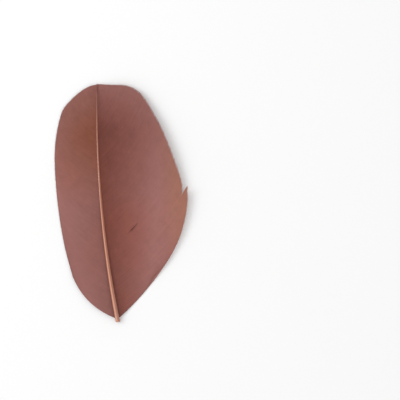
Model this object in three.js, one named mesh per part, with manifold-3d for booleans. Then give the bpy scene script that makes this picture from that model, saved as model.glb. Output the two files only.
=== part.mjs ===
// A trimmed, dyed goose feather with a short cut quill, lying back side up on a flat surface.
//
// The feather grew as one piece, so it is one solid: the shaft, and on each side of it a vane made of
// barbs that leave the shaft at a slant and sweep towards the tip. The narrow left vane rounds down to
// the surface at its margin. The wide right vane dips to the surface and its margin curls up again.
// The relief of the vanes is the barbs in bundles, with every bundle reaching a little past its
// neighbour's end, so that the margin is finely stepped. The wide vane has a nick in its margin and a
// short slit where the barbs have parted.
//
// Millimetres, +Z up. x runs across the feather and y from the cut quill end to the tip.

import * as THREE from "three";
import { mergeVertices } from "three/addons/utils/BufferGeometryUtils.js";
import Module from "manifold-3d";

// Driving dimensions
const featherLength = 143;

const shaft = {
  startX: 0.45, // the cut end's and the tip's x, from the line that the length is measured on
  endX: -0.88,
  bow: 3.45, // how far it bows to the left of the straight line between its ends
  arch: 4.4, // how far its middle stands above the straight line from end to tip
  baseRadius: 1.4,
  tipRadius: 0.25,
  endShort: 4.5, // the shaft fades out this far before the feather's tip
  stations: 30,
  sides: 12,
};

const quillHollow = { radius: 1.08, depth: 7, endRadius: 0.5 };

const vane = {
  rootThickness: 0.6,
  marginThickness: 0.34,
  rootLift: 0.35, // height of the barb roots over the shaft's centre line, as a share of its radius
  rootInset: 0.5, // how far the roots reach past the shaft's centre line, as a share of its radius
  bundles: 36, // on each side
  bundleRelief: 0.18, // height of a crest over a furrow
  bundleStep: 0.25, // how much further each crest reaches at the margin
  joinShare: 0.1, // share of a barb's length over which the relief rises out of the shaft
  restSag: 0.12, // how far the wide vane settles onto the surface it lies on
};

// Each vane: where its first and last barbs root on the shaft, how soon the barbs spread along the
// margin, how far each barb bends in degrees at the first root and beyond it, and its margin's line.
const rightVane = {
  side: 1,
  firstRoot: 1,
  lastRoot: 140,
  spread: 0.6,
  firstBend: 9,
  bend: 11,
  trough: 0.52, // share of the barb's length at which the vane is lowest
  columns: [0, 0.13, 0.26, 0.38, 0.475, 0.565, 0.68, 0.79, 0.9, 1],
  margin: [
    [24.6, 25.6],
    [31.1, 31.8],
    [37, 39.8],
    [42.7, 50.7],
    [46.6, 64.4],
    [46.6, 76],
    [42.3, 92.9],
    [36.9, 110.4],
    [32.7, 120.6],
    [27.4, 131.2],
    [22.6, 137.2],
    [16.2, 140.6],
    [7.8, 141.7],
    [-1.4, 143],
  ],
};
const leftVane = {
  side: -1,
  firstRoot: 1.5,
  lastRoot: 140,
  spread: 0.87,
  firstBend: 24,
  bend: 14,
  columns: [0, 0.15, 0.3, 0.45, 0.6, 0.74, 0.88, 1],
  margin: [
    [-24.5, 29],
    [-28, 47.2],
    [-30.1, 69.5],
    [-30.3, 94.6],
    [-28.4, 112],
    [-23.6, 127.4],
    [-18.4, 133.8],
    [-11.6, 139],
    [-5.8, 141.8],
    [-0.6, 142.6],
  ],
};

const bendSettles = 0.12; // share of the roots over which the bend grows to its full value
const barbFullness = 0.55; // how far along its chord a barb keeps its root direction

// Slow rise and fall of the wide vane's margin, beyond this share of the barbs' length
const marginWave = { height: 0.9, waves: 2.5, from: 0.6 };
const leftMarginLift = { base: 0.9, tip: 1.3 }; // the narrow vane's margin lifts at its two ends

// The nick in the wide vane's margin: the barbs below it are longer, those above it are broken short.
const nick = {
  at: 0.385, // along the margin
  longer: 3.5,
  longerReach: 9, // how far along the margin the longer barbs are felt
  shorter: 3.7,
  shorterReach: 3.4,
  depth: 0.09, // share of the barb's length
  halfWidth: 0.25,
};
const nickRoot = Math.pow(nick.at, 1 / rightVane.spread);

// The slit where the barbs have parted, along one barb of the wide vane.
const slit = { root: 42, from: 0.24, to: 0.38, halfWidth: 0.3 };

const cutHeight = 12; // the nick and the slit are cut right through
const thinnest = 0.02; // half the width of a cut where it starts

// The shaft's centre line, from the cut end at 0 to the tip at 1
function shaftCentre(k) {
  const hump = 4 * k * (1 - k);
  const straight = THREE.MathUtils.lerp(shaft.baseRadius, 0.35, k);
  const x = THREE.MathUtils.lerp(shaft.startX, shaft.endX, k) - shaft.bow * hump;
  return new THREE.Vector3(x, featherLength * k, straight + shaft.arch * hump);
}

function shaftRadius(k) {
  return THREE.MathUtils.lerp(shaft.baseRadius, shaft.tipRadius, k);
}

// Where barb f roots, with f from 0 at the first barb to 1 at the last
function rootOf(blade, f) {
  const y = THREE.MathUtils.lerp(blade.firstRoot, blade.lastRoot, f);
  const k = y / featherLength;
  const centre = shaftCentre(k);
  const radius = shaftRadius(k);
  const x = centre.x - blade.side * vane.rootInset * radius;
  return { x, y, z: centre.z + vane.rootLift * radius };
}

for (const blade of [rightVane, leftVane]) {
  blade.marginLine = new THREE.SplineCurve(blade.margin.map(([x, y]) => new THREE.Vector2(x, y)));
}

// From where a barb roots, straight to where it meets the margin's line
function chordOf(blade, f) {
  const root = rootOf(blade, f);
  const end = blade.marginLine.getPointAt(Math.min(Math.pow(f, blade.spread), 1));
  return end.sub(new THREE.Vector2(root.x, root.y));
}

// How far a barb goes on past the margin's line, because of the nick; where it falls short it's negative
function pastMargin(blade, f) {
  if (blade !== rightVane) return 0;
  const away = (Math.pow(f, blade.spread) - nick.at) * blade.marginLine.getLength();
  if (away < 0) return nick.longer * Math.exp(away / nick.longerReach);
  return -nick.shorter * Math.exp(-away / nick.shorterReach);
}

// A barb in plan, from the shaft at t 0 to the margin's line at 1: it leaves the shaft at a slant and
// bends towards the tip
function barbInPlan(blade, f, t) {
  const root = rootOf(blade, f);
  const start = new THREE.Vector2(root.x, root.y);
  const chord = chordOf(blade, f);
  const end = start.clone().add(chord);
  const settle = Math.min(f / bendSettles, 1);
  const bend = THREE.MathUtils.degToRad(
    THREE.MathUtils.lerp(blade.firstBend, blade.bend, settle * (2 - settle)),
  );
  const control = chord.clone().multiplyScalar(barbFullness);
  control.rotateAround(new THREE.Vector2(), -bend * blade.side).add(start);
  return new THREE.QuadraticBezierCurve(start, control, end).getPoint(t);
}

// Height of the vane's underside over the surface that the feather lies on
function undersideHeight(blade, f, t) {
  const root = rootOf(blade, f).z - vane.rootThickness / 2;
  const w = Math.pow(f, blade.spread);
  if (blade === rightVane) {
    const dip = root * ((t - blade.trough) / blade.trough) ** 2;
    const swell = marginWave.height * (1 - Math.cos(2 * Math.PI * marginWave.waves * w));
    const beyond = Math.max(0, t - marginWave.from) / (1 - marginWave.from);
    return Math.max(0, dip - vane.restSag) + swell * beyond * w * (1 - w);
  }
  const lift = leftMarginLift.base * (1 - w) ** 6 + leftMarginLift.tip * w ** 6;
  return Math.max(0, root * (1 - t * t) + lift * t * t);
}

// A point of the vane's top or underside, at this share of the barb's own length; crest is 1 on a
// bundle's crest and 0 in a furrow
function vanePoint(blade, f, share, crest, top) {
  const step = crest * vane.bundleStep * share ** 8;
  const t = share * (1 + (pastMargin(blade, f) + step) / chordOf(blade, f).length());
  const flat = barbInPlan(blade, f, t);
  const under = undersideHeight(blade, f, t);
  if (!top) return [flat.x, flat.y, under];
  const thickness = THREE.MathUtils.lerp(vane.rootThickness, vane.marginThickness, t);
  const relief = crest * vane.bundleRelief * Math.min(t / vane.joinShare, 1);
  return [flat.x, flat.y, under + thickness + relief];
}

// A closed solid from rings of points: one ring a station, capped flat at both ends
function loft(rings) {
  const sides = rings[0].length;
  const positions = rings.flat(2);
  const faces = [];
  for (let i = 0; i < rings.length - 1; i++) {
    for (let j = 0; j < sides; j++) {
      const a = i * sides + j;
      const b = i * sides + ((j + 1) % sides);
      faces.push(a, b, b + sides, a, b + sides, a + sides);
    }
  }
  const last = (rings.length - 1) * sides;
  for (let j = 1; j < sides - 1; j++) {
    faces.push(0, j + 1, j, last, last + j, last + j + 1);
  }
  const geometry = new THREE.BufferGeometry();
  geometry.setAttribute("position", new THREE.Float32BufferAttribute(positions, 3));
  geometry.setIndex(faces);
  return geometry;
}

// A ring of the shaft, square to its centre line
function shaftRing(k, radius, sides) {
  const step = 0.001;
  const centre = shaftCentre(k);
  const along = shaftCentre(k + step).sub(shaftCentre(k - step)).normalize();
  const across = new THREE.Vector3().crossVectors(along, new THREE.Vector3(0, 0, 1)).normalize();
  const upward = new THREE.Vector3().crossVectors(across, along);
  return Array.from({ length: sides }, (_, j) => {
    const angle = -Math.PI / 2 - (2 * Math.PI * j) / sides;
    const point = centre.clone();
    point.addScaledVector(across, radius * Math.cos(angle));
    point.addScaledVector(upward, radius * Math.sin(angle));
    return point.toArray();
  });
}

function shaftGeometry() {
  const end = 1 - shaft.endShort / featherLength;
  const rings = Array.from({ length: shaft.stations + 1 }, (_, i) => {
    const k = (end * i) / shaft.stations;
    return shaftRing(k, shaftRadius(k), shaft.sides);
  });
  return loft(rings);
}

function hollowGeometry() {
  const depth = quillHollow.depth / featherLength;
  const profile = [
    [-0.1, quillHollow.radius],
    [0.85, quillHollow.radius],
    [1, quillHollow.endRadius],
  ];
  return loft(profile.map(([share, radius]) => shaftRing(share * depth, radius, shaft.sides)));
}

// The barbs that a vane's solid follows: crests and furrows in turn, and one at each side of the nick
function followedBarbs(blade) {
  const lines = 2 * vane.bundles;
  const barbs = Array.from({ length: lines + 1 }, (_, i) => ({ f: i / lines, crest: i % 2 }));
  if (blade !== rightVane) return barbs;
  const beside = 0.001;
  const apart = barbs.filter(({ f }) => Math.abs(f - nickRoot) > 3 * beside);
  apart.push({ f: nickRoot - beside, crest: 0 }, { f: nickRoot + beside, crest: 0 });
  return apart.sort((a, b) => a.f - b.f);
}

// A vane as a closed sheet, with one ring of points around it for each barb that it follows
function vaneGeometry(blade) {
  const rings = followedBarbs(blade).map(({ f, crest }) => {
    const top = blade.columns.map((t) => vanePoint(blade, f, t, crest, true));
    const underside = blade.columns.map((t) => vanePoint(blade, f, t, crest, false));
    const ring = [...top, ...underside.reverse()];
    return blade.side > 0 ? ring : ring.reverse();
  });
  return loft(rings);
}

// A blade that opens the vane along one barb, as wide at each point as widthAt says
function partingGeometry(blade, f, stops, widthAt) {
  const step = 0.002;
  const rings = stops.map((t) => {
    const here = barbInPlan(blade, f, t);
    const ahead = barbInPlan(blade, f, t + step).sub(here).normalize();
    const [sx, sy] = [-ahead.y * widthAt(t), ahead.x * widthAt(t)];
    return [
      [here.x - sx, here.y - sy, -cutHeight],
      [here.x + sx, here.y + sy, -cutHeight],
      [here.x + sx, here.y + sy, cutHeight],
      [here.x - sx, here.y - sy, cutHeight],
    ];
  });
  return loft(rings);
}

function nickGeometry() {
  const stops = [1 - nick.depth, 1 - nick.depth / 2, 1, 1 + nick.depth];
  return partingGeometry(rightVane, nickRoot, stops, (t) =>
    thinnest + (nick.halfWidth * (t - stops[0])) / nick.depth,
  );
}

function slitGeometry() {
  const f = (slit.root - rightVane.firstRoot) / (rightVane.lastRoot - rightVane.firstRoot);
  const pieces = 6;
  const stops = Array.from({ length: pieces + 1 }, (_, i) =>
    THREE.MathUtils.lerp(slit.from, slit.to, i / pieces),
  );
  return partingGeometry(rightVane, f, stops, (t) =>
    thinnest + slit.halfWidth * Math.sin((Math.PI * (t - slit.from)) / (slit.to - slit.from)),
  );
}

// manifold-3d joins the shaft and the vanes and cuts the hollow, the nick and the slit
const wasm = await Module();
wasm.setup();

function toSolid(geometry) {
  const merged = mergeVertices(geometry, 1e-4);
  const solid = new wasm.Manifold(
    new wasm.Mesh({
      numProp: 3,
      vertProperties: merged.attributes.position.array,
      triVerts: new Uint32Array(merged.index.array),
    }),
  );
  if (solid.volume() <= 0) throw new Error("a solid is empty or inside out");
  return solid;
}

function toGeometry(solid) {
  const mesh = solid.getMesh();
  const geometry = new THREE.BufferGeometry();
  geometry.setAttribute("position", new THREE.BufferAttribute(mesh.vertProperties, 3));
  geometry.setIndex(new THREE.BufferAttribute(mesh.triVerts, 1));
  geometry.computeVertexNormals();
  return geometry;
}

const opened = toSolid(vaneGeometry(rightVane))
  .subtract(toSolid(nickGeometry()))
  .subtract(toSolid(slitGeometry()));
const whole = toSolid(shaftGeometry())
  .add(toSolid(vaneGeometry(leftVane)))
  .add(opened)
  .subtract(toSolid(hollowGeometry()));

const dyedBarbs = new THREE.MeshStandardMaterial({ color: 0x91605a, roughness: 0.8, metalness: 0 });
const feather = new THREE.Mesh(toGeometry(whole), dyedBarbs);
feather.name = "feather";

// The part's origin is on the resting surface, below the middle of the feather's outline
const outline = new THREE.Box3().setFromObject(feather);
const middle = outline.getCenter(new THREE.Vector3());
feather.position.set(-middle.x, -middle.y, -outline.min.z);

const root = new THREE.Group();
root.add(feather);

export default root;
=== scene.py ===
# A dyed goose feather, trimmed to a leaf shape, lying back side up. Everything is in metres.
# The frame's origin is on the floor under the middle of the feather, and +Y runs to its tip.

import math

import bmesh
import bpy
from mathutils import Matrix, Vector


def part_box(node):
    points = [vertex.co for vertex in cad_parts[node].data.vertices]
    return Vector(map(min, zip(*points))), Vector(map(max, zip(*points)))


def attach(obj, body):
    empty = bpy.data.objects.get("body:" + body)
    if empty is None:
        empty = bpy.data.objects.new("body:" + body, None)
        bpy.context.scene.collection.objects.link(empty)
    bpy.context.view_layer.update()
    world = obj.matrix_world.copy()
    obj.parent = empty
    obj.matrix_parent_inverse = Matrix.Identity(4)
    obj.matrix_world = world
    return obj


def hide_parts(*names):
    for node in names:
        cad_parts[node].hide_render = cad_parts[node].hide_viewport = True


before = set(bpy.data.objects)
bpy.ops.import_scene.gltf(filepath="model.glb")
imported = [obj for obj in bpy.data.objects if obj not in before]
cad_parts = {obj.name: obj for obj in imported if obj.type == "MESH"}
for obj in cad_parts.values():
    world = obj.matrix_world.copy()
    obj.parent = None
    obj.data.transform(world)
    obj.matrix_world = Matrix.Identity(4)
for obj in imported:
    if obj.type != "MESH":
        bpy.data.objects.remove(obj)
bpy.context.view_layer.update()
mm = 0.001
low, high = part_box("feather")

feather = {
    "length": 143 * mm,
    "leftReach": 30.57 * mm,  # from the line that the length is measured on to the left margin
}
cutEnd = Vector((low.x + feather["leftReach"], high.y - feather["length"], 0))

shaft = {
    "startX": 0.45 * mm,  # the cut end's and the tip's x, from the line that the length is measured on
    "endX": -0.88 * mm,
    "bow": 3.45 * mm,  # to the left of the straight line between its ends
    "arch": 4.4 * mm,  # above the straight line between its ends
    "baseRadius": 1.4 * mm,
    "tipRadius": 0.25 * mm,
    "tipHeight": 0.35 * mm,
    "end": 0.965,  # share of the feather's length at which it fades out
    "thin": 0.2,  # share of its thickness that it loses over and above its taper towards the tip
    "thinFrom": 0.7,
    "tipRise": 0.2 * mm,  # how far it comes up between the barbs' feet there
    "stations": 110,
    "crowding": 1.15,  # how much closer the stations stand towards the quill
    "sides": 28,
    "flatBack": 0.12,  # how much the back is flattened, as a share of the radius
    "groove": 0.22,  # depth of the groove along the underside, as a share of the radius
    "grooveWidth": 0.4,  # in radians around the shaft
    "grooveFrom": 0.1,  # where the round quill turns into the grooved shaft
    "grooveDeepens": 0.1,  # share of the length over which it gets its full depth
    "wall": 0.26 * mm,
    "hollow": 7 * mm,
    "cutSlant": 0.35,  # slope of the scissor cut through the quill
}


def lerp(a, b, k):
    return a + (b - a) * k


def shaftCentre(k):
    hump = 4 * k * (1 - k)
    height = lerp(shaft["baseRadius"], shaft["tipHeight"], k) + shaft["arch"] * hump
    x = lerp(shaft["startX"], shaft["endX"], k) - shaft["bow"] * hump
    return cutEnd + Vector((x, feather["length"] * k, height))


def shaftRadius(k):
    return lerp(shaft["baseRadius"], shaft["tipRadius"], k)


def newPiece(name, mesh):
    piece = bpy.data.objects.new(name, mesh)
    bpy.context.scene.collection.objects.link(piece)
    return piece


# Node helpers, for Geometry Nodes and materials alike

def addNode(tree, kind, values=None, **settings):
    node = tree.nodes.new(kind)
    for name, value in settings.items():
        setattr(node, name, value)
    for key, value in (values or {}).items():
        plug(tree, value, node.inputs[key])
    return node


def plug(tree, value, socket):
    if isinstance(value, Field):
        value = value.socket
    if isinstance(value, bpy.types.NodeSocket):
        tree.links.new(value, socket)
    else:
        socket.default_value = value


class Field:  # a number that the nodes work out, written as plain arithmetic
    def __init__(self, tree, socket):
        self.tree = tree
        self.socket = socket

    def math(self, operation, *others, first=None):
        values = [self, *others] if first is None else [first, self]
        node = addNode(self.tree, "ShaderNodeMath", dict(enumerate(values)), operation=operation)
        return Field(self.tree, node.outputs[0])

    def __add__(self, other):
        return self.math("ADD", other)

    def __mul__(self, other):
        return self.math("MULTIPLY", other)

    def __sub__(self, other):
        return self.math("SUBTRACT", other)

    def __rsub__(self, other):
        return self.math("SUBTRACT", first=other)

    def __truediv__(self, other):
        return self.math("DIVIDE", other)

    def __pow__(self, other):
        return self.math("POWER", other)

    __radd__ = __add__
    __rmul__ = __mul__

    def atLeast(self, other):
        return self.math("MAXIMUM", other)

    def atMost(self, other):
        return self.math("MINIMUM", other)

    def clamped(self):
        return self.atLeast(0.0).atMost(1.0)

    def blend(self, a, b):
        return a + (b - a) * self


def combine(tree, x, y, z):
    return addNode(tree, "ShaderNodeCombineXYZ", {0: x, 1: y, 2: z}).outputs[0]


def separate(tree, vector):
    node = addNode(tree, "ShaderNodeSeparateXYZ", {0: vector})
    return [Field(tree, socket) for socket in node.outputs]


def noise(tree, vector, scale, detail=2.0, roughness=0.5):
    node = addNode(tree, "ShaderNodeTexNoise", {
        "Vector": vector, "Scale": scale, "Detail": detail, "Roughness": roughness,
    })
    return Field(tree, node.outputs[0])


# Materials

def srgb(red, green, blue):
    def linear(value):
        value /= 255
        return value / 12.92 if value <= 0.04045 else ((value + 0.055) / 1.055) ** 2.4
    return (linear(red), linear(green), linear(blue), 1.0)


def newMaterial(name):
    material = bpy.data.materials.new(name)
    material.use_nodes = True
    shader = material.node_tree.nodes["Principled BSDF"]
    return material, material.node_tree, shader


def mixColour(tree, share, a, b, mode="MIX"):
    node = addNode(tree, "ShaderNodeMix", data_type="RGBA", blend_type=mode)
    plug(tree, share, node.inputs[0])
    plug(tree, a, node.inputs[6])
    plug(tree, b, node.inputs[7])
    return node.outputs[2]


def brighten(tree, colour, share):
    node = addNode(tree, "ShaderNodeHueSaturation", {"Color": colour, "Value": share})
    return node.outputs[0]


vaneFinish = {
    "mauve": srgb(152, 102, 96),
    "ochre": srgb(152, 102, 82),  # where the margin is farthest from the shaft
    "ochreFrom": 34 * mm,
    "ochreWidth": 14 * mm,
    "ochreShare": 0.75,
    "tipDusk": 0.16,  # how much darker the dye is towards the tip
    "duskFrom": 0.52,  # share of the feather's length at which that starts
    "duskTo": 0.77,
    "tipBrownSpread": 0.4,  # how much of the brown towards the tip goes beyond the strip by the shaft
    "stripNarrowing": 0.33,
    "stripEnds": 0.2,  # share of the length, before the tip, over which the strip fades out
    "shaftPaintWidth": 0.9 * mm,  # how far from the shaft the painted shade along the shaft's foot reaches
    "shaftPaintChange": 0.25,  # share of the length over which that painted shade changes, to painted light on the right vane
    "streak": 0.08,
    "barbTone": 0.1,
    "cloud": 0.06,
    "cloudBrown": 0.7,
    "mottle": 0.13,
    "mottleScale": 190.0,
    "quillDusk": 0.07,  # how much darker the dye is towards the quill
    "quillDuskEnds": 0.2,
    "cloudScale": 28.0,
    "nap": 0.25,
    "napDepth": 0.05 * mm,
    "roughness": 0.72,
    "sheen": 0.25,
    "sheenRoughness": 0.45,
    "sheenTint": srgb(214, 176, 170),
    "specular": 0.25,
}


def vaneMaterial(name, vane):
    material, tree, shader = newMaterial(name)
    uv = addNode(tree, "ShaderNodeUVMap", uv_map="UVMap").outputs[0]
    across, along, _ = separate(tree, uv)
    place = addNode(tree, "ShaderNodeTexCoord").outputs["Object"]
    x, y, _ = separate(tree, place)
    barbs = vane["Barbs"]

    # The dye is deepest and brownest in a strip beside the shaft, which narrows towards the quill; the darker
    # tone there is partly painted shade, and the lighter tone towards the margin partly painted light
    clouds = noise(tree, place, vaneFinish["cloudScale"], 2.0)
    k = ((y - cutEnd.y) / feather["length"]).clamped()
    shaftX = k.blend(shaft["startX"], shaft["endX"]) - k * (1.0 - k) * (4 * shaft["bow"]) + cutEnd.x
    fromShaft = (x - shaftX) * vane["Side"]
    strip = k ** vaneFinish["stripNarrowing"] * vane["paleFrom"]
    nearShaft = (1.0 - fromShaft / strip).clamped()
    nearShaft = nearShaft * ((1.0 - k) / vaneFinish["stripEnds"]).atMost(1.0)
    nearTip = (k - vaneFinish["duskFrom"]) / (vaneFinish["duskTo"] - vaneFinish["duskFrom"])
    nearTip = nearTip.clamped()
    tipBrown = nearTip * (nearShaft + vaneFinish["tipBrownSpread"]) * vane["brownAtTip"]
    browner = nearShaft * vane["brownAtShaft"] + tipBrown
    browner = browner + (clouds - 0.5) * vaneFinish["cloudBrown"]
    colour = mixColour(tree, browner.clamped(), vaneFinish["mauve"], vane["brown"])
    widest = ((fromShaft - vaneFinish["ochreFrom"]) / vaneFinish["ochreWidth"]).clamped()
    colour = mixColour(tree, widest * vaneFinish["ochreShare"], colour, vaneFinish["ochre"])
    # Darker beside the shaft and lighter towards the margin: partly dye, partly painted shade and painted
    # light where the vane slopes away from or towards the lamp
    tone = (1.0 - nearShaft).blend(vane["atShaft"], vane["atMargin"])
    nearQuill = (1.0 - k / vaneFinish["quillDuskEnds"]).clamped()
    tone = tone * (1.0 - nearTip * vaneFinish["tipDusk"] - nearQuill * vaneFinish["quillDusk"])
    # Painted shade along the foot of the shaft; farther up the right vane it turns to painted light
    beside = (fromShaft - k.blend(shaft["baseRadius"], shaft["tipRadius"])).atLeast(0.0)
    shaftPaint = (beside * (-1 / vaneFinish["shaftPaintWidth"])).math("EXPONENT")
    upper = ((k - vane["seamUpTo"]) / vaneFinish["shaftPaintChange"]).clamped()
    tone = tone * (1.0 - shaftPaint * upper.blend(vane["seamBelow"], vane["seamAbove"]))

    # Streaks along the barbs, and every barb a little different
    streaks = noise(tree, combine(tree, across * (barbs / 5), along * 1.3, 0.0), 1.0, 3.0, 0.6)
    single = noise(tree, combine(tree, across * barbs, along * 3.0, 4.0), 1.0, 1.0)
    tone = tone + (streaks - 0.5) * (2 * vaneFinish["streak"])
    tone = tone + (single - 0.5) * (2 * vaneFinish["barbTone"])
    tone = tone + (clouds - 0.5) * (2 * vaneFinish["cloud"])
    mottle = noise(tree, place, vaneFinish["mottleScale"], 3.0, 0.6)
    tone = tone + (mottle - 0.5) * (2 * vaneFinish["mottle"])
    plug(tree, brighten(tree, colour, tone), shader.inputs["Base Color"])

    # Barbules: a fine slanting nap over the barbs
    nap = noise(tree, combine(tree, across * (barbs * 2.0), along * 160.0, 0.0), 1.0, 1.0)
    bump = addNode(tree, "ShaderNodeBump", {
        "Height": nap, "Strength": vaneFinish["nap"], "Distance": vaneFinish["napDepth"],
    })
    plug(tree, bump.outputs[0], shader.inputs["Normal"])
    rough = (streaks - 0.5) * 0.1 + vaneFinish["roughness"]
    plug(tree, rough, shader.inputs["Roughness"])
    shader.inputs["Sheen Weight"].default_value = vaneFinish["sheen"]
    shader.inputs["Sheen Roughness"].default_value = vaneFinish["sheenRoughness"]
    shader.inputs["Sheen Tint"].default_value = vaneFinish["sheenTint"]
    shader.inputs["Specular IOR Level"].default_value = vaneFinish["specular"]
    return material


shaftFinish = {
    "tan": srgb(172, 103, 75),
    "orange": srgb(156, 84, 54),
    "pale": srgb(176, 115, 93),
    # painted highlight: a pale stripe along the shaft's left side, where the lamp's glint falls
    "crest": srgb(232, 168, 138),
    "crestTo": 0.78,  # share of the length at which the painted highlight ends
    "crestAt": -0.32,  # in radii from the shaft's middle
    "crestWidth": 0.3,
    "crestShare": 0.75,
    "paintedShadeRight": 0.25,  # painted shade: how much darker its right side is, away from the lamp
    "orangeFrom": 0.625,  # share of the length from which it's fully orange
    "paleTo": 0.125,  # share of the length up to which the quill is paler
    "fade": srgb(140, 84, 66),
    "fadeFrom": 0.8,  # share of the length from which it fades into the vane's colour
    "fadeOver": 1 / 6,
    "roughness": 0.17,
    "tipRoughness": 0.75,
    "grain": 0.06,
    "grainDepth": 0.03 * mm,
    "subsurface": 0.12,
    "subsurfaceRadius": (1.2 * mm, 0.6 * mm, 0.4 * mm),
    "specular": 1.0,
}


def shaftMaterial():
    material, tree, shader = newMaterial("shaftDyeAndPaintedHighlight")
    place = addNode(tree, "ShaderNodeTexCoord").outputs["Object"]
    x, y, z = separate(tree, place)
    fibres = noise(tree, combine(tree, x * 2600.0, y * 90.0, z * 2600.0), 1.0, 3.0, 0.6)
    towardsTip = (y / feather["length"] + 0.5).clamped()
    deeper = (towardsTip / shaftFinish["orangeFrom"]).clamped()
    colour = mixColour(tree, deeper, shaftFinish["tan"], shaftFinish["orange"])
    atQuill = (1.0 - towardsTip / shaftFinish["paleTo"]).clamped()
    colour = mixColour(tree, atQuill, colour, shaftFinish["pale"])

    # Painted highlight along its left side and painted shade down its right side, where the lamp from the
    # left lights and shades it
    k = ((y - cutEnd.y) / feather["length"]).clamped()
    shaftX = k.blend(shaft["startX"], shaft["endX"]) - k * (1.0 - k) * (4 * shaft["bow"]) + cutEnd.x
    offCentre = (x - shaftX) / k.blend(shaft["baseRadius"], shaft["tipRadius"])
    fromPaintedHighlight = (offCentre - shaftFinish["crestAt"]) / shaftFinish["crestWidth"]
    crest = (fromPaintedHighlight * fromPaintedHighlight * -1.0).math("EXPONENT") * ((shaftFinish["crestTo"] - k) / 0.4).clamped()
    colour = mixColour(tree, crest * shaftFinish["crestShare"], colour, shaftFinish["crest"])
    # Painted shade down the shaft's right side
    paintedShadeRight = (offCentre - 0.1).clamped() * shaftFinish["paintedShadeRight"]

    fading = ((towardsTip - shaftFinish["fadeFrom"]) / shaftFinish["fadeOver"]).clamped()
    colour = mixColour(tree, fading, colour, shaftFinish["fade"])
    colour = brighten(tree, colour, (fibres - 0.5) * 0.3 + 1.0 - paintedShadeRight)
    plug(tree, colour, shader.inputs["Base Color"])
    rough = fading.blend(shaftFinish["roughness"], shaftFinish["tipRoughness"])
    plug(tree, (fibres - 0.5) * 0.06 + rough, shader.inputs["Roughness"])
    bump = addNode(tree, "ShaderNodeBump", {
        "Height": fibres, "Strength": shaftFinish["grain"], "Distance": shaftFinish["grainDepth"],
    })
    plug(tree, bump.outputs[0], shader.inputs["Normal"])
    shader.inputs["Subsurface Weight"].default_value = shaftFinish["subsurface"]
    shader.inputs["Subsurface Radius"].default_value = shaftFinish["subsurfaceRadius"]
    shader.inputs["Subsurface Scale"].default_value = 1.0
    shader.inputs["Specular IOR Level"].default_value = shaftFinish["specular"]
    return material


# The camera looks straight down, as the photograph does, and takes in the photograph's frame.
# The feather leans to the left in it, and its middle lies left of the frame's middle.

camera = {
    "field": 240 * mm,  # what the frame's width takes in
    "lens": 85.0,
    "sensor": 36.0,
    "lean": math.radians(4.484),
    "aimFromCutEnd": (55.1 * mm, 68.8 * mm),
}


def makeCamera():
    data = bpy.data.cameras.new("camera")
    data.lens = camera["lens"]
    data.sensor_width = camera["sensor"]
    view = newPiece("camera", data)
    height = camera["field"] * camera["lens"] / camera["sensor"]
    right, ahead = camera["aimFromCutEnd"]
    view.location = cutEnd + Vector((right, ahead, height))
    view.rotation_euler = (0, 0, -camera["lean"])
    bpy.context.scene.camera = view
    print("camera ready")


makeCamera()


# The vanes: every barb is a slim ridged strip that leaves the shaft at a slant and sweeps to the margin

# Where barbs have parted: at which root, over which shares of their length, how far they draw apart and
# over how many of the roots, and how far those above ride up over those below
slit = {"at": 0.295, "from": 0.235, "to": 0.375, "opening": 0.0004, "reach": 0.012, "step": 0.58 * mm}
nick = {"at": 0.2037, "from": 0.91, "to": 1.15, "opening": 0.0012, "reach": 0.03, "step": 0.0}

rightVane = {
    "partings": [slit, nick],
    "Side": 1.0,
    "Barbs": 344,
    "Spread": 0.6,  # how soon the barbs fan out along the margin
    "First Bend": math.radians(9),
    "Bend": math.radians(11),
    "Dips": True,  # lies in a trough beside the shaft, and its margin comes up again
    "Trough": 0.52,
    "Nick At": 0.385,
    "Nick Longer": 3.5 * mm,
    "Nick Shorter": 3.7 * mm,
    "firstRoot": 1 * mm,
    "lastRoot": 140 * mm,
    "margin": [
        (24.6, 25.6), (31.1, 31.8), (37, 39.8), (42.7, 50.7), (46.6, 64.4), (46.6, 76), (42.3, 92.9),
        (36.9, 110.4), (32.7, 120.6), (27.4, 131.2), (22.6, 137.2), (16.2, 140.6), (7.8, 141.7), (-1.4, 143),
    ],
    "swell": 0.9 * mm,
    "swellWaves": 2.5,
    "atShaft": 0.66,  # how deep the tone is beside the shaft: dye and painted shade
    "atMargin": 1.12,
    "paleFrom": 42 * mm,  # how far from the shaft the brown dye and painted shade reach before the tone turns pale, near the tip
    "brown": srgb(150, 81, 66),
    "brownAtShaft": 0.95,
    "brownAtTip": 0.0,
    "seamBelow": 0.3,  # painted shade along the shaft's foot: how much darker the barbs' feet are than the tone beside them
    "seamAbove": -0.16,  # the same, farther up the feather, where a negative share is painted light
    "seamUpTo": 0.2,
}
leftVane = {
    "partings": [],
    "Side": -1.0,
    "Barbs": 344,
    "Spread": 0.87,
    "First Bend": math.radians(24),
    "Bend": math.radians(14),
    "Dips": False,
    "Trough": 0.5,
    "Nick At": 5.0,
    "Nick Longer": 0.0,
    "Nick Shorter": 0.0,
    "firstRoot": 1.5 * mm,
    "lastRoot": 140 * mm,
    "margin": [
        (-24.5, 29), (-28, 47.2), (-30.1, 69.5), (-30.3, 94.6), (-28.4, 112), (-23.6, 127.4),
        (-18.4, 133.8), (-11.6, 139), (-5.8, 141.8), (-0.6, 142.6),
    ],
    "baseLift": 0.9 * mm,
    "tipLift": 1.3 * mm,
    # tone beside the shaft and at the margin: dye with painted shade and painted light
    "atShaft": 0.86,
    "atMargin": 1.04,
    "paleFrom": 30 * mm,
    "brown": srgb(150, 87, 66),
    "brownAtShaft": 0.3,
    "brownAtTip": 0.6,
    # painted shade along the shaft's foot
    "seamBelow": 0.35,
    "seamAbove": 0.0,
    "seamUpTo": 0.4,
}
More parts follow.
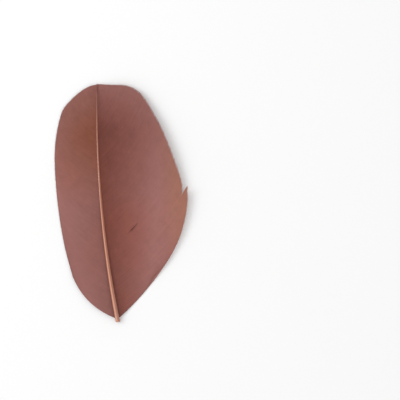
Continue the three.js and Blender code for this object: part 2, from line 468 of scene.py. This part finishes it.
barb = {
    "Rings": 16,
    "tipCrowding": 1.25,  # how much closer the rings stand towards a barb's tip
    "pointFrom": 0.972,  # share of its length at which a barb starts to point
    "pointed": 0.6,
    "marginFrom": 0.6,
    "nickLongerReach": 9 * mm,  # how far along the margin the longer barbs are felt
    "nickShorterReach": 3.4 * mm,
    "cockleScale": 34.0,
    "cockleFrom": 0.4,
    "bundles": 95.0,
    "bundlesAlong": 1.4,
    "ridgeFades": 0.4,  # how much lower a barb's ridge is at its tip
    "clearance": 0.12 * mm,
    "Bend Settles": 0.12,
    "Fullness": 0.55,
    "Root Thickness": 0.6 * mm,
    "Margin Thickness": 0.34 * mm,
    "Sag": 0.12 * mm,
    "Rise": 0.1 * mm,  # height of a barb's ridge over its middle
    "Overlap": 1.2,
    "Ragged": 0.006,  # how much the barbs differ in length, as a share
    "Cockle": 0.35 * mm,
    "Bundle": 0.05 * mm,
    "Seed": 7,
}
rootLift = 0.35  # height of the barb roots over the shaft's centre, as a share of its radius
rootInset = 0.5


def smoothLine(points, steps):
    line = []
    last = len(points) - 1
    for i in range(steps + 1):
        place = last * i / steps
        index = min(int(place), last - 1)
        t = place - index
        p0, p1, p2, p3 = (Vector(points[min(max(index + j, 0), last)]) for j in (-1, 0, 1, 2))
        v0, v1 = (p2 - p0) / 2, (p3 - p1) / 2
        cubed = 2 * p1 - 2 * p2 + v0 + v1
        squared = 3 * p2 - 3 * p1 - 2 * v0 - v1
        line.append(cubed * t ** 3 + squared * t ** 2 + v0 * t + p1)
    return line


def guideCurve(name, points):
    data = bpy.data.curves.new(name, "CURVE")
    data.dimensions = "3D"
    spline = data.splines.new("POLY")
    spline.points.add(len(points) - 1)
    for target, point in zip(spline.points, points):
        target.co = (*point, 1)
    return newPiece(name, data)


def rootLine(vane):
    points = []
    steps = 80
    for i in range(steps + 1):
        y = lerp(vane["firstRoot"], vane["lastRoot"], i / steps)
        k = y / feather["length"]
        inset = -vane["Side"] * rootInset * shaftRadius(k)
        points.append(shaftCentre(k) + Vector((inset, 0, rootLift * shaftRadius(k))))
    return points


def marginLift(vane, w):
    if vane["Dips"]:
        return vane["swell"] * (1 - math.cos(2 * math.pi * vane["swellWaves"] * w)) * w * (1 - w)
    return vane["baseLift"] * (1 - w) ** 6 + vane["tipLift"] * w ** 6


def marginLine(vane):
    flat = [cutEnd + Vector((x * mm, y * mm, 0)) for x, y in smoothLine(vane["margin"], 160)]
    lengths = [0.0]
    for a, b in zip(flat, flat[1:]):
        lengths.append(lengths[-1] + (b - a).length)
    vane["Margin Length"] = lengths[-1]
    return [p + Vector((0, 0, marginLift(vane, s / lengths[-1]))) for p, s in zip(flat, lengths)]


def partingShift(f, t, parting):
    beside = f - parting["at"]
    fall = (beside.math("ABSOLUTE") * (-1 / parting["reach"])).math("EXPONENT")
    within = ((t - parting["from"]) / (parting["to"] - parting["from"])).clamped()
    return beside.math("SIGN") * fall * (within * math.pi).math("SINE")


def vaneTree(partings):
    tree = bpy.data.node_groups.new("vane", "GeometryNodeTree")
    face = tree.interface
    face.new_socket("Geometry", in_out="INPUT", socket_type="NodeSocketGeometry")
    face.new_socket("Geometry", in_out="OUTPUT", socket_type="NodeSocketGeometry")
    kinds = {
        "Root Line": "Object", "Margin Line": "Object", "Finish": "Material",
        "Barbs": "Int", "Rings": "Int", "Seed": "Int", "Dips": "Bool",
    }
    numbers = [
        "Side", "Spread", "First Bend", "Bend", "Bend Settles", "Fullness", "Trough", "Sag",
        "Root Thickness", "Margin Thickness", "Rise", "Overlap", "Ragged", "Cockle", "Bundle",
        "Nick At", "Nick Longer", "Nick Shorter", "Margin Length",
    ]
    for name in [*kinds, *numbers]:
        face.new_socket(name, in_out="INPUT", socket_type="NodeSocket" + kinds.get(name, "Float"))
    given = addNode(tree, "NodeGroupInput").outputs

    def size(name):
        return Field(tree, given[name])

    # One slim four-sided strip for each barb, all at the origin for now
    index = Field(tree, addNode(tree, "GeometryNodeInputIndex").outputs[0])
    dots = addNode(tree, "GeometryNodePoints", {0: given["Barbs"]}).outputs[0]
    dots = addNode(tree, "GeometryNodeStoreNamedAttribute", {
        "Geometry": dots, "Name": "barb", "Value": index / (size("Barbs") - 1.0),
    }, data_type="FLOAT", domain="POINT").outputs[0]
    strip = addNode(tree, "GeometryNodeMeshCylinder", {
        "Vertices": 4, "Side Segments": given["Rings"], "Radius": 1.0, "Depth": 1.0,
    }).outputs["Mesh"]
    barbs = addNode(tree, "GeometryNodeInstanceOnPoints", {"Points": dots, "Instance": strip}).outputs[0]
    barbs = addNode(tree, "GeometryNodeRealizeInstances", {0: barbs}).outputs[0]

    # In a strip's own frame x runs across it, y up, and z from its root to its tip
    own = addNode(tree, "GeometryNodeInputPosition").outputs[0]
    across, up, lengthwise = separate(tree, own)
    t = 1.0 - (0.5 - lengthwise).atLeast(0.0) ** barb["tipCrowding"]
    here = Field(tree, addNode(tree, "GeometryNodeInputNamedAttribute", {"Name": "barb"},
                               data_type="FLOAT").outputs[0])

    # The crests run sharp along each barb; around it the strip is smooth
    ends = addNode(tree, "GeometryNodeInputMeshEdgeVertices").outputs
    runs = separate(tree, ends["Position 1"])[2] - separate(tree, ends["Position 2"])[2]
    along = runs.math("ABSOLUTE").math("GREATER_THAN", 0.001)
    barbs = addNode(tree, "GeometryNodeSetShadeSmooth", {0: barbs, "Selection": along, "Shade Smooth": False},
                    domain="EDGE").outputs[0]
    barbs = addNode(tree, "GeometryNodeStoreNamedAttribute", {
        "Geometry": barbs, "Name": "UVMap",
        "Value": combine(tree, here + across * 0.5 / size("Barbs"), t, 0.0),
    }, data_type="FLOAT2", domain="CORNER").outputs[0]

    # Where on the vane: f from the first barb to the last, t from root to tip
    tip = ((t - barb["pointFrom"]) / (1 - barb["pointFrom"])).clamped()
    width = size("Overlap") * 0.5 / size("Barbs") * (1.0 - tip * barb["pointed"])
    f = here + across * size("Side") * width
    shifts = [(parting, partingShift(here, t, parting)) for parting in partings]
    for parting, shift in shifts:
        f = f + shift * parting["opening"]
    f = f.clamped()
    chance = addNode(tree, "ShaderNodeTexWhiteNoise", {
        "Vector": combine(tree, here * 977.0, size("Seed") * 1.0, 0.0),
    }, noise_dimensions="3D").outputs[0]
    chance = Field(tree, chance) - 0.5
    t = t + chance * 2.0 * size("Ragged") * t ** 6.0

    def onLine(name, factor):
        line = addNode(tree, "GeometryNodeObjectInfo", {0: given[name]}).outputs["Geometry"]
        node = addNode(tree, "GeometryNodeSampleCurve", {"Curves": line, "Factor": factor}, mode="FACTOR")
        return separate(tree, node.outputs["Position"])

    rootX, rootY, rootZ = onLine("Root Line", f)
    endX, endY, lift = onLine("Margin Line", f ** size("Spread"))

    # The barb bends from its root's direction towards the tip
    settle = (f / size("Bend Settles")).atMost(1.0)
    bend = (settle * (2.0 - settle)).blend(size("First Bend"), size("Bend")) * size("Side") * -1.0
    cosine, sine = bend.math("COSINE"), bend.math("SINE")
    chordX, chordY = endX - rootX, endY - rootY

    # The nick: the barbs below it are longer, those above it are broken short
    away = (here ** size("Spread") - size("Nick At")) * size("Margin Length")
    below = away.math("LESS_THAN", 0.0)
    reach = below.blend(barb["nickShorterReach"], barb["nickLongerReach"])
    fade = (away.math("ABSOLUTE") * -1.0 / reach).math("EXPONENT")
    extra = fade * below.blend(size("Nick Shorter") * -1.0, size("Nick Longer"))
    t = t * (extra / (chordX * chordX + chordY * chordY) ** 0.5 + 1.0)

    midX = rootX + (chordX * cosine - chordY * sine) * size("Fullness")
    midY = rootY + (chordX * sine + chordY * cosine) * size("Fullness")
    start, middle, finish = (1.0 - t) * (1.0 - t), (1.0 - t) * t * 2.0, t * t
    x = rootX * start + midX * middle + endX * finish
    y = rootY * start + midY * middle + endY * finish

    # Height: the wide vane dips to the floor and comes up again, the narrow one rounds down to it
    rootUnder = rootZ - size("Root Thickness") / 2.0
    offTrough = (t - size("Trough")) / size("Trough")
    beyond = ((t - barb["marginFrom"]) / (1 - barb["marginFrom"])).clamped()
    dipped = (rootUnder * offTrough * offTrough - size("Sag")).atLeast(0.0) + lift * beyond
    domed = (rootUnder * (1.0 - t * t) + lift * t * t).atLeast(0.0)
    under = addNode(tree, "GeometryNodeSwitch", {0: given["Dips"], 1: domed, 2: dipped},
                    input_type="FLOAT").outputs[0]
    z = Field(tree, under) + t.blend(size("Root Thickness"), size("Margin Thickness")) / 2.0
    cockle = noise(tree, combine(tree, x, y, 0.0), barb["cockleScale"], 1.0)
    bundle = noise(tree, combine(tree, here * barb["bundles"], t * barb["bundlesAlong"], 3.0), 1.0, 2.0)
    z = z + (cockle - barb["cockleFrom"]).atLeast(0.0) * size("Cockle") * 2.0 * t
    for parting, shift in shifts:
        z = z + shift * parting["step"]
    z = z + ((bundle - 0.5) * 2.0 * size("Bundle") + chance * size("Rise") * 0.5) * t
    z = z.atLeast(barb["clearance"]) + up * size("Rise") * (1.0 - t * barb["ridgeFades"])

    place = combine(tree, x, y, z)
    barbs = addNode(tree, "GeometryNodeSetPosition", {0: barbs, "Position": place}).outputs[0]
    barbs = addNode(tree, "GeometryNodeRealizeInstances", {0: barbs}).outputs[0]
    barbs = addNode(tree, "GeometryNodeSetMaterial", {0: barbs, "Material": given["Finish"]}).outputs[0]
    addNode(tree, "NodeGroupOutput", {0: barbs})
    return tree


def makeVane(name, vane):
    guides = {
        "Root Line": guideCurve(name + "Root", rootLine(vane)),
        "Margin Line": guideCurve(name + "Margin", marginLine(vane)),
    }
    piece = newPiece(name, bpy.data.meshes.new(name))
    modifier = piece.modifiers.new("barbs", "NODES")
    modifier.node_group = vaneTree(vane["partings"])
    values = {**barb, **vane, **guides, "Finish": vaneMaterial(name, vane)}
    for item in modifier.node_group.interface.items_tree:
        if item.in_out == "INPUT" and item.name in values:
            modifier[item.identifier] = values[item.name]

    sight = bpy.context.evaluated_depsgraph_get()
    mesh = bpy.data.meshes.new_from_object(
        piece.evaluated_get(sight), preserve_all_data_layers=True, depsgraph=sight,
    )
    piece.modifiers.clear()
    piece.data = mesh
    mesh.name = name
    for guide in guides.values():
        bpy.data.objects.remove(guide)
    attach(piece, "root")
    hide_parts("feather")
    print(name, len(mesh.polygons), "faces")


def ring(centre, along, radiusAt, sides):
    side = along.cross(Vector((0, 0, 1))).normalized()
    upward = side.cross(along)
    points = []
    for j in range(sides):
        angle = 2 * math.pi * j / sides
        radius = radiusAt(angle)
        points.append(centre + side * radius * math.cos(angle) + upward * radius * math.sin(angle))
    return points


def makeShaft():
    def towardsEnd(k):
        return max(k - shaft["thinFrom"], 0) / (shaft["end"] - shaft["thinFrom"])

    def profile(k):
        grooved = min(max((k - shaft["grooveFrom"]) / shaft["grooveDeepens"], 0), 1)
        radius = shaftRadius(k) * (1 - shaft["thin"] * towardsEnd(k))

        def radiusAt(angle):
            back = max(math.sin(angle), 0) ** 3 * shaft["flatBack"]
            fromBelow = math.remainder(angle + math.pi / 2, 2 * math.pi)
            groove = math.exp(-((fromBelow / shaft["grooveWidth"]) ** 2)) * shaft["groove"] * grooved
            return radius * (1 - back - groove)
        return radiusAt

    def station(k):
        step = 0.001
        rise = Vector((0, 0, shaft["tipRise"] * towardsEnd(k)))
        return shaftCentre(k) + rise, (shaftCentre(k + step) - shaftCentre(k - step)).normalized()

    # Outside from the tip down to the cut, then the hollow's wall up to its end
    rings = []
    for i in range(shaft["stations"], -1, -1):
        k = shaft["end"] * (i / shaft["stations"]) ** shaft["crowding"]
        centre, along = station(k)
        rings.append(ring(centre, along, profile(k), shaft["sides"]))
    inner = shaft["baseRadius"] - shaft["wall"]
    for depth, radius in ((0, inner), (0.12, inner * 0.97), (0.8, inner * 0.95), (1, inner * 0.35)):
        centre, along = station(depth * shaft["hollow"] / feather["length"])
        rings.append(ring(centre, along, lambda angle: radius, shaft["sides"]))
    # The scissor cut slants through the quill
    for points in (rings[shaft["stations"]], rings[shaft["stations"] + 1]):
        for point in points:
            point.y += (point.z - shaft["baseRadius"]) * shaft["cutSlant"]

    made = bmesh.new()
    rows = [[made.verts.new(point) for point in points] for points in rings]
    for a, b in zip(rows, rows[1:]):
        for j in range(len(a)):
            n = (j + 1) % len(a)
            made.faces.new((a[j], a[n], b[n], b[j]))
    made.faces.new(rows[0][::-1])
    made.faces.new(rows[-1])
    bmesh.ops.recalc_face_normals(made, faces=made.faces)
    for face in made.faces:
        face.smooth = True
    for edge in made.edges:
        edge.smooth = edge.calc_face_angle(0) < math.radians(50)
    mesh = bpy.data.meshes.new("shaft")
    made.to_mesh(mesh)
    made.free()
    mesh.materials.append(shaftMaterial())
    piece = newPiece("shaft", mesh)
    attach(piece, "root")
    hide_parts("feather")
    print("shaft", len(mesh.polygons), "faces")


# Pale floor and soft studio light from the upper left

studio = {
    "floor": 3.0,
    "floorTone": 0.97,
    "sky": 0.82,
    "lamps": {
        "key": {"power": 4.6, "place": (-0.9, 0.35, 0.75), "size": 0.55},
        "fill": {"power": 0.6, "place": (0.8, -0.5, 1.0), "size": 1.2},
    },
}


def makeStudio():
    made = bmesh.new()
    bmesh.ops.create_grid(made, x_segments=1, y_segments=1, size=studio["floor"] / 2)
    mesh = bpy.data.meshes.new("floor")
    made.to_mesh(mesh)
    made.free()
    material, tree, shader = newMaterial("paleFloor")
    shader.inputs["Base Color"].default_value = (*[studio["floorTone"]] * 3, 1)
    shader.inputs["Roughness"].default_value = 0.9
    shader.inputs["Specular IOR Level"].default_value = 0.1
    mesh.materials.append(material)
    floor = newPiece("floor", mesh)

    for name, given in studio["lamps"].items():
        data = bpy.data.lights.new(name, "AREA")
        data.energy = given["power"]
        data.size = given["size"]
        lamp = newPiece(name, data)
        lamp.location = given["place"]
        lamp.rotation_euler = Vector(given["place"]).to_track_quat("Z", "Y").to_euler()

    world = bpy.data.worlds.new("studio")
    world.use_nodes = True
    sky = world.node_tree.nodes["Background"]
    sky.inputs[0].default_value = (1, 1, 1, 1)
    sky.inputs[1].default_value = studio["sky"]
    bpy.context.scene.world = world
    bpy.context.scene.view_settings.view_transform = "Standard"
    print("studio ready")


makeShaft()
makeVane("leftVane", leftVane)
makeVane("rightVane", rightVane)
makeStudio()
